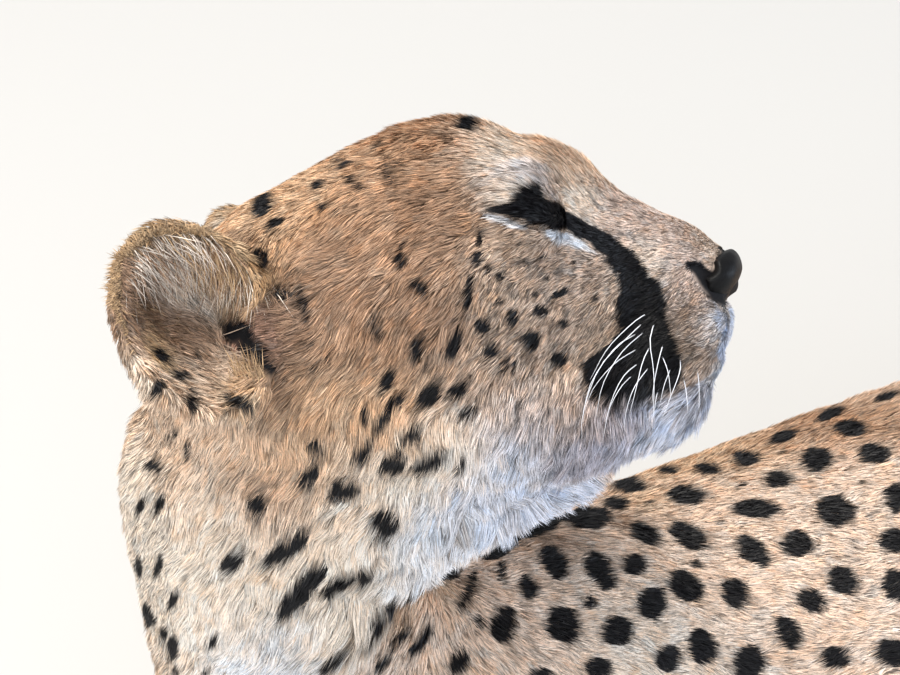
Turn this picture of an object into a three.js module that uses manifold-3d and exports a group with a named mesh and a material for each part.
// A life-size cheetah lying on its chest, with its head turned back over its left shoulder.
// Millimetres, +Z up. The animal's body points along -X, its left side is at -Y.
// The origin is on the floor under the middle of the whole animal.
import * as THREE from 'three';
import { mergeVertices } from 'three/addons/utils/BufferGeometryUtils.js';
import Module from 'manifold-3d';

const wasm = await Module();
wasm.setup();

// ---------------------------------------------------------------- driving sizes

const GAP = 0.3; // between neighbouring solids
const FLOOR_DIP = 3; // how far resting parts would sink before they are cut flat
const CENTRE = [276.2, 85.1]; // middle of the animal's outline on the floor, from above

const CHEST_WIDTH = 200;
const WITHERS_HEIGHT = 318;
const EYE_RADIUS = 16;
const EAR_RADIUS = 34;
const HEAD_PLACE = [-75, 11, 450]; // the middle of the head
const HEAD_HEADING = -37; // degrees from +X towards -Y
const HEAD_RISE = 18; // degrees that the nose points up
const HEAD_LEAN = 36; // degrees that the crown leans over to the right side of the body

// ---------------------------------------------------------------- solids from lofts

function solidOf(geometry) {
  const bare = geometry.clone();
  bare.deleteAttribute('normal');
  bare.deleteAttribute('uv');
  const merged = mergeVertices(bare, 1e-4);
  return new wasm.Manifold(
    new wasm.Mesh({
      numProp: 3,
      vertProperties: new Float32Array(merged.attributes.position.array),
      triVerts: new Uint32Array(merged.index.array),
    }),
  );
}

const join = (...solids) => solids.reduce((a, b) => a.add(b));
const cut = (solid, ...tools) => tools.reduce((a, b) => a.subtract(b), solid);
const vector = (p) => new THREE.Vector3(...p);

// Sweeps an egg-shaped section along a smooth path and closes both ends with domes.
// A station is [x, y, z, half width, height above the path, depth below it].
// `dorsal` says which way is up in the section, `domes` how far the ends stand out, in section
// sizes, `square` how boxy the section is, and `span` which share of the path is used.
function loft(stations, options = {}) {
  const { sides = 16, steps = 12, dorsal = [0, 0, 1], domes = [0.7, 0.7] } = options;
  const { domeRings = 3, square = 2, grow = 0, span = [0, 1] } = options;
  const path = new THREE.CatmullRomCurve3(stations.map((s) => vector(s)));
  const sizes = new THREE.CatmullRomCurve3(stations.map((s) => vector(s.slice(3, 6))));
  const ups = Array.isArray(dorsal[0]) ? dorsal : [dorsal, dorsal];
  const backs = new THREE.CatmullRomCurve3(ups.map((d) => vector(d)));
  const boxy = (value) => Math.sign(value) * Math.abs(value) ** (2 / square);
  const ringAt = (t, push, scale) => {
    const along = path.getTangent(t);
    const side = new THREE.Vector3().crossVectors(along, backs.getPoint(t)).normalize();
    const up = new THREE.Vector3().crossVectors(side, along);
    const size = sizes.getPoint(t).addScalar(grow);
    const mean = (size.x + size.y + size.z) / 3;
    const middle = path.getPoint(t).addScaledVector(along, push * mean);
    return Array.from({ length: sides }, (_, i) => {
      const turn = (i / sides) * 2 * Math.PI;
      const across = boxy(Math.cos(turn)) * size.x;
      const rise = boxy(Math.sin(turn)) * (Math.sin(turn) > 0 ? size.y : size.z);
      return middle.clone().addScaledVector(side, across * scale).addScaledVector(up, rise * scale);
    });
  };
  // The rings of a dome, from its foot outwards: how far out, and how wide.
  const dome = Array.from({ length: domeRings }, (_, i) => {
    const turn = ((i + 1) / domeRings) * (Math.PI / 2);
    return [Math.sin(turn), Math.cos(turn)];
  });
  return solidOf(
    surfaceThrough([
      ...[...dome].reverse().map(([out, width]) => ringAt(span[0], -domes[0] * out, width)),
      ...Array.from({ length: steps + 1 }, (_, i) =>
        ringAt(span[0] + ((span[1] - span[0]) * i) / steps, 0, 1),
      ),
      ...dome.map(([out, width]) => ringAt(span[1], domes[1] * out, width)),
    ]),
  );
}

// The closed surface through a list of rings, of which the first and the last are points.
function surfaceThrough(rings) {
  const sides = rings[0].length;
  const points = [rings[0][0], ...rings.slice(1, -1).flat(), rings.at(-1)[0]];
  const last = points.length - 1;
  const at = (ring, i) => 1 + ring * sides + (i % sides);
  const faces = [];
  const rows = rings.length - 2;
  for (let i = 0; i < sides; i++) {
    faces.push(0, at(0, i), at(0, i + 1));
    faces.push(last, at(rows - 1, i + 1), at(rows - 1, i));
    for (let row = 0; row < rows - 1; row++) {
      faces.push(at(row, i), at(row + 1, i), at(row + 1, i + 1));
      faces.push(at(row, i), at(row + 1, i + 1), at(row, i + 1));
    }
  }
  const geometry = new THREE.BufferGeometry().setFromPoints(points);
  geometry.setIndex(faces);
  return geometry;
}

// An ellipsoid with half axes [a, b, c] at a place.
function ball(place, radii, detail) {
  const geometry = new THREE.SphereGeometry(1, detail, Math.round(detail * 0.7));
  geometry.scale(...radii).translate(...place);
  return solidOf(geometry);
}

// ---------------------------------------------------------------- trunk

function trunk(grow = 0) {
  const half = CHEST_WIDTH / 2;
  const ribs = WITHERS_HEIGHT - 8; // height of the back over the ribs
  const barrel = loft(
    [
      [-146, 0, 166, half * 0.44, 62, 76],
      [-106, 0, 162, half * 0.8, 112, 136],
      [-40, 0, 160, half * 0.96, WITHERS_HEIGHT - 160, 161],
      [50, 0, 158, half * 1.03, ribs - 158, 158 + FLOOR_DIP],
      [140, 0, 160, half * 1.07, ribs - 166, 160 + FLOOR_DIP],
      [240, 0, 166, half * 1.03, 136, 150],
      [340, 0, 180, half * 0.92, 123, 130],
      [440, 0, 182, half * 0.92, 118, 122],
      [530, 0, 170, half * 0.97, 112, 122],
      [600, 0, 152, half * 0.84, 94, 97],
      [642, 0, 138, half * 0.58, 64, 63],
    ],
    { sides: 18, steps: 13, domes: [0.5, 0.4], square: 2.15, grow },
  );
  const neckRoot = loft(
    [
      [4, 0, 215, 86, 98, 100],
      [-52, -6, 250, 86, 94, 94],
      [-92, -9, 286, 76, 76, 78],
    ],
    { sides: 14, steps: 4, dorsal: [0.55, 0, 0.83], grow },
  );
  const shoulders = [-1, 1].map((side) =>
    loft(
      [
        [-2, side * 46, 272, 30, 46, 48],
        [-34, side * 64, 230, 34, 62, 62],
        [-84, side * 74, 170, 32, 54, 48],
      ],
      { sides: 10, steps: 3, domeRings: 2, dorsal: [-0.75, 0, 0.66], grow },
    ),
  );
  return join(barrel, neckRoot, ...shoulders);
}

// ---------------------------------------------------------------- legs

const LIMB = { sides: 10, steps: 3, domeRings: 2 };

function upperArm(side, grow = 0) {
  return loft(
    [
      [-98, side * 76, 152, 36, 52, 48],
      [-42, side * 93, 110, 36, 54, 50],
      [20, side * 106, 62, 33, 42, 46],
    ],
    { ...LIMB, dorsal: [0.5, 0, 0.86], grow },
  );
}

function forearm(side, grow = 0) {
  return loft(
    [
      [34, side * 108, 46, 34, 38, 46],
      [-30, side * 112, 40, 34, 35, 43],
      [-110, side * 112, 32, 28, 27, 35],
      [-178, side * 108, 28, 26, 21, 31],
    ],
    { ...LIMB, domes: [0.7, 0.5], grow },
  );
}

function thigh(side, grow = 0) {
  return loft(
    [
      [572, side * 56, 172, 54, 84, 92],
      [480, side * 94, 162, 52, 90, 98],
      [392, side * 122, 152, 46, 74, 82],
      [338, side * 134, 148, 36, 46, 56],
    ],
    { sides: 12, steps: 5, domes: [0.6, 0.8], grow },
  );
}

function shank(side, grow = 0) {
  return loft(
    [
      [352, side * 140, 118, 35, 46, 48],
      [430, side * 145, 92, 33, 46, 48],
      [505, side * 142, 66, 25, 34, 36],
      [566, side * 138, 44, 20, 25, 33],
    ],
    { ...LIMB, domes: [0.6, 0.7], grow },
  );
}

// A foot with four toes, the middle two the longest, and a claw on each.
function paw(stations, side, grow) {
  const [tipX, tipY, tipZ, width] = stations.at(-1);
  const foot = loft(stations, { sides: 8, steps: 2, domeRings: 2, domes: [0.3, 0.5], grow });
  const toes = [0, 1, 2, 3].map((i) => {
    const across = tipY + side * (i - 1.5) * width * 0.55;
    const tip = tipX - (i === 1 || i === 2 ? 12 : 0);
    const toe = ball([tip, across, tipZ - 5], [21 + grow, 9.5 + grow, 15 + grow], 5);
    const claw = new THREE.ConeGeometry(3 + grow, 16, 3);
    claw.rotateZ(Math.PI / 2 + 0.5).translate(tip - 22, across, tipZ - 9);
    return join(toe, solidOf(claw));
  });
  return join(foot, ...toes);
}

const forepaw = (side, grow = 0) =>
  paw(
    [
      [-170, side * 109, 27, 25, 21, 30],
      [-215, side * 106, 24, 29, 22, 27],
      [-262, side * 104, 20, 25, 15, 23],
    ],
    side,
    grow,
  );

const hindpaw = (side, grow = 0) =>
  paw(
    [
      [572, side * 138, 30, 21, 21, 33],
      [440, side * 150, 24, 23, 19, 27],
      [345, side * 156, 20, 24, 15, 23],
    ],
    side,
    grow,
  );

// ---------------------------------------------------------------- tail

// The tail leaves the croup, comes down to the floor and lies in a wide curve on the right side.
// `span` is the share of its length that a piece takes.
const tail = (span, grow = 0) =>
  loft(
    [
      [628, 0, 158, 38, 38, 42],
      [690, 4, 112, 30, 30, 34],
      [745, 22, 62, 26, 26, 29],
      [796, 66, 32, 25, 25, 30],
      [828, 140, 24, 24, 24, 27],
      [826, 225, 22, 23, 23, 25],
      [775, 298, 21, 23, 22, 24],
      [690, 330, 20, 23, 22, 23],
      [600, 326, 20, 24, 22, 23],
      [530, 300, 19, 19, 17, 22],
    ],
    { sides: 9, steps: 6, domeRings: 2, domes: [0.3, 0.8], span, grow },
  );

// ---------------------------------------------------------------- head

// The head is built looking along +X with its crown up and its left side at +Y, then turned.
const degrees = THREE.MathUtils.degToRad;
const HEAD_TURN = new THREE.Matrix4()
  .makeTranslation(...HEAD_PLACE)
  .multiply(new THREE.Matrix4().makeRotationZ(degrees(HEAD_HEADING)))
  .multiply(new THREE.Matrix4().makeRotationX(degrees(-HEAD_LEAN)))
  .multiply(new THREE.Matrix4().makeRotationY(degrees(-HEAD_RISE)));

const turned = (solid) => solid.transform(HEAD_TURN.elements);

// Skull, forehead, nose bridge and upper lip, in one sweep from the nape to the nose.
function cranium(grow) {
  return loft(
    [
      [-77, 0, 4, 42, 38, 36],
      [-56, 0, 0, 57, 51, 50],
      [-20, 0, 0, 65, 60, 56],
      [20, 0, 0, 66, 68, 52],
      [45, 0, 0, 57, 63, 46],
      [62, 0, -2, 45, 52, 38],
      [76, 0, -6, 36, 36, 32],
      [90, 0, -10, 31, 29, 27],
      [100, 0, -13, 27, 26, 22],
      [107, 0, -16, 17, 20, 17],
    ],
    { sides: 18, steps: 14, domes: [0.4, 0.15], square: 2.1, grow },
  );
}

function cheeksAndJaw(grow) {
  return loft(
    [
      [-46, 0, -24, 52, 30, 36],
      [-8, 0, -28, 60, 30, 38],
      [34, 0, -33, 54, 28, 34],
      [64, 0, -37, 38, 24, 29],
      [86, 0, -42, 27, 18, 22],
      [99, 0, -43, 21, 15, 16],
    ],
    { sides: 14, steps: 7, domes: [0.5, 0.5], grow },
  );
}

const brow = (side, grow) => ball([51, side * 32, 39], [20 + grow, 17 + grow, 10 + grow], 8);
const lip = (side, grow) => ball([94, side * 18, -25], [20 + grow, 16 + grow, 14 + grow], 8);

const headMass = (grow = 0) =>
  join(
    cranium(grow),
    cheeksAndJaw(grow),
    ...[-1, 1].flatMap((side) => [brow(side, grow), lip(side, grow)]),
  );

const eyeball = (side, grow = 0) =>
  ball([51, side * 37, 24], Array(3).fill(EYE_RADIUS + grow), 10);

function noseLeather(grow = 0) {
  return loft(
    [
      [100, 0, -6, 14, 10, 12],
      [110, 0, -8, 18, 11.5, 13],
      [118, 0, -10, 15, 9, 11],
    ],
    { sides: 12, steps: 3, domes: [0.3, 0.35], grow },
  );
}

// The cup of the left ear: a lathed bowl whose floor lies forward, over the ear canal, and whose
// tip leans back.
function leftEar() {
  const depth = 24;
  const wall = 6.5;
  const lip = 2.5; // how far the rim's inner edge stands out
  const shares = [0, 0.3, 0.6, 0.82, 1].map((share) => (share * Math.PI) / 2);
  const wallAt = (radius, drop) =>
    shares.map((turn) => new THREE.Vector2(radius * Math.sin(turn), -drop * Math.cos(turn)));
  const outside = wallAt(EAR_RADIUS, depth + wall);
  const inside = wallAt(EAR_RADIUS - wall, depth).reverse();
  inside[0].y = lip;
  const bowl = new THREE.LatheGeometry([...outside, ...inside], 12);
  const floorForward = new THREE.Matrix4().makeShear(-0.35, 0, 0, 0, 0, 0);
  bowl.applyMatrix4(floorForward).scale(0.82, 1, 1).rotateY(degrees(-14));
  const opens = new THREE.Vector3(0.24, 0.96, 0.08).normalize();
  const turn = new THREE.Quaternion().setFromUnitVectors(new THREE.Vector3(0, 1, 0), opens);
  bowl.applyQuaternion(turn).translate(-56, 77, 18);
  return solidOf(bowl);
}

const ear = (side) => (side > 0 ? leftEar() : leftEar().mirror([0, 1, 0]));

// ---------------------------------------------------------------- neck

// The neck rises from the chest and winds to the left: at its foot its back faces the tail,
// and at the head it faces forward.
function neckColumn(grow) {
  return loft(
    [
      [-98, 3, 215, 70, 75, 78],
      [-110, 8, 300, 65, 72, 66],
      [-116, 11, 355, 61, 70, 56],
      [-112, 12, 404, 60, 66, 54],
      [-92, 12, 436, 56, 56, 48],
    ],
    {
      sides: 12,
      steps: 6,
      dorsal: [
        [0.6, 0.5, 0.3],
        [0.1, 0.9, 0.2],
        [-0.6, 0.7, 0.2],
        [-0.8, 0.4, 0.3],
      ],
      grow,
    },
  );
}

// The throat hangs between the jaw and the foot of the neck, over the left shoulder.
function throat(grow) {
  return loft(
    [
      [-113, -14, 405, 42, 42, 41],
      [-74, -11, 409, 42, 38, 38],
      [-22, -8, 396, 32, 26, 30],
    ],
    { sides: 11, steps: 4, dorsal: [0, 0, 1], grow },
  );
}

const neck = (grow = 0) => join(neckColumn(grow), throat(grow));

// ---------------------------------------------------------------- scene graph

const fur = (color) => new THREE.MeshStandardMaterial({ color, roughness: 0.9, metalness: 0 });
const TAWNY = fur(0xd3a878);
const WHITE = fur(0xe9dcc8);
const LEATHER = new THREE.MeshStandardMaterial({ color: 0x18151a, roughness: 0.45, metalness: 0 });
const EYE = new THREE.MeshStandardMaterial({ color: 0x3a2413, roughness: 0.08, metalness: 0 });

const cheetah = new THREE.Group();
cheetah.position.set(-CENTRE[0], -CENTRE[1], 0);

const underFloor = new THREE.BoxGeometry(2400, 1600, 200);
underFloor.translate(250, 0, -100);
const floorCut = solidOf(underFloor);

// Adds the largest body of a solid as a mesh; slivers that a cut leaves are dropped.
function addPart(name, solid, material) {
  const bodies = solid.subtract(floorCut).decompose();
  const largest = bodies.reduce((a, b) => (a.volume() > b.volume() ? a : b));
  const mesh = largest.getMesh();
  const geometry = new THREE.BufferGeometry();
  geometry.setAttribute('position', new THREE.BufferAttribute(mesh.vertProperties, 3));
  geometry.setIndex(new THREE.BufferAttribute(mesh.triVerts, 1));
  geometry.computeVertexNormals();
  const part = new THREE.Mesh(geometry, material);
  part.name = name;
  cheetah.add(part);
}

addPart('trunk', trunk(), TAWNY);
const trunkRoom = trunk(GAP);

for (const [name, side] of [['left', -1], ['right', 1]]) {
  addPart('upper_arm_' + name, cut(upperArm(side), trunkRoom), TAWNY);
  const armRoom = join(upperArm(side, GAP), trunkRoom);
  addPart('forearm_' + name, cut(forearm(side), armRoom), TAWNY);
  addPart('forepaw_' + name, cut(forepaw(side), forearm(side, GAP)), TAWNY);
  addPart('thigh_' + name, cut(thigh(side), trunkRoom), TAWNY);
  const thighRoom = join(thigh(side, GAP), trunkRoom);
  addPart('shank_' + name, cut(shank(side), thighRoom), TAWNY);
  addPart('hindpaw_' + name, cut(hindpaw(side), shank(side, GAP), thighRoom), TAWNY);
}

const TAIL_CUTS = [0, 0.4, 0.72, 1];
addPart('tail_root', cut(tail([0, TAIL_CUTS[1]]), trunkRoom), TAWNY);
addPart('tail_middle', cut(tail(TAIL_CUTS.slice(1, 3)), tail([0, TAIL_CUTS[1]], GAP)), TAWNY);
addPart('tail_tip', cut(tail(TAIL_CUTS.slice(2)), tail(TAIL_CUTS.slice(1, 3), GAP)), WHITE);

const sockets = join(eyeball(-1, GAP), eyeball(1, GAP));
const headRoom = turned(headMass(GAP));
const neckRoom = neck(GAP);
addPart('head', turned(cut(headMass(), sockets, noseLeather(GAP))), TAWNY);
addPart('nose', turned(noseLeather()), LEATHER);
addPart('neck', cut(neck(), trunkRoom, headRoom), TAWNY);
// The head's own left side is at +Y before it is turned.
for (const [name, side] of [['left', 1], ['right', -1]]) {
  addPart('eye_' + name, turned(eyeball(side)), EYE);
  addPart('ear_' + name, cut(turned(ear(side)), headRoom, neckRoom), TAWNY);
}

export default cheetah;
